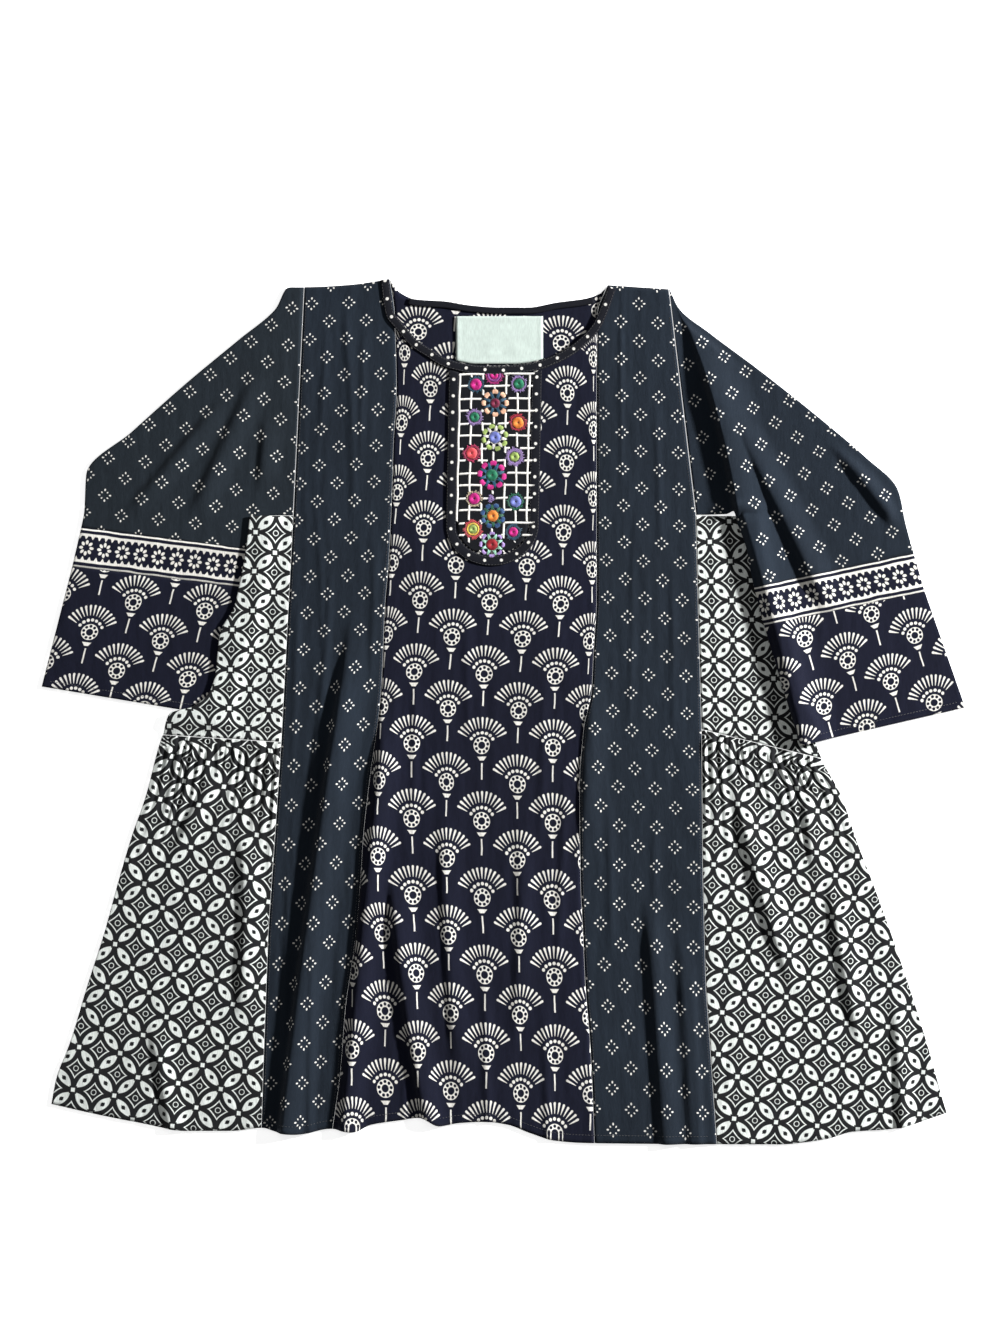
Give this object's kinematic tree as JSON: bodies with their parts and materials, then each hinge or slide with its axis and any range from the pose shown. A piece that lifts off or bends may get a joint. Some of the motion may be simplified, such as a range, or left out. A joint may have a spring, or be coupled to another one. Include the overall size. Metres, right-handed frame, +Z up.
{
  "type": "kaftan tunic",
  "caption": "Patchwork printed cotton kaftan tunic laid flat, with an embroidered neck bib, gathered side skirts and wide three-quarter sleeves.",
  "frame": {"origin": "middle of the garment's footprint, on the surface that it lies on", "axes": "+Z up from the surface, +Y towards the shoulders, +X to the right sleeve as seen from above"},
  "size_m": [0.923, 0.8644, 0.0174],
  "materials": {
    "buti_cotton": "matt printed cotton",
    "fan_cotton": "matt printed cotton",
    "lattice_cotton": "matt printed cotton",
    "border_print": "matt printed cotton",
    "dotted_binding": "matt printed cotton",
    "plain_facing": "matt printed cotton",
    "embroidered_bib": "matt printed cotton",
    "label_cloth": "matt printed cotton"
  },
  "bodies": {
    "root": {"back_panel_left": "buti_cotton", "centre_back": "fan_cotton", "back_panel_right": "buti_cotton", "front_panel_left": "buti_cotton", "centre_front": "fan_cotton", "front_panel_right": "buti_cotton", "gore_left": "lattice_cotton", "gore_right": "lattice_cotton", "side_skirt_left": "lattice_cotton", "side_skirt_right": "lattice_cotton", "sleeve_left": "buti_cotton", "sleeve_right": "buti_cotton", "sleeve_band_left": "border_print", "sleeve_band_right": "border_print", "cuff_left": "fan_cotton", "cuff_right": "fan_cotton", "neck_facing": "dotted_binding", "back_neck_facing": "plain_facing", "bib_border": "dotted_binding", "bib": "embroidered_bib", "neck_label": "label_cloth"}
  },
  "joints": []
}
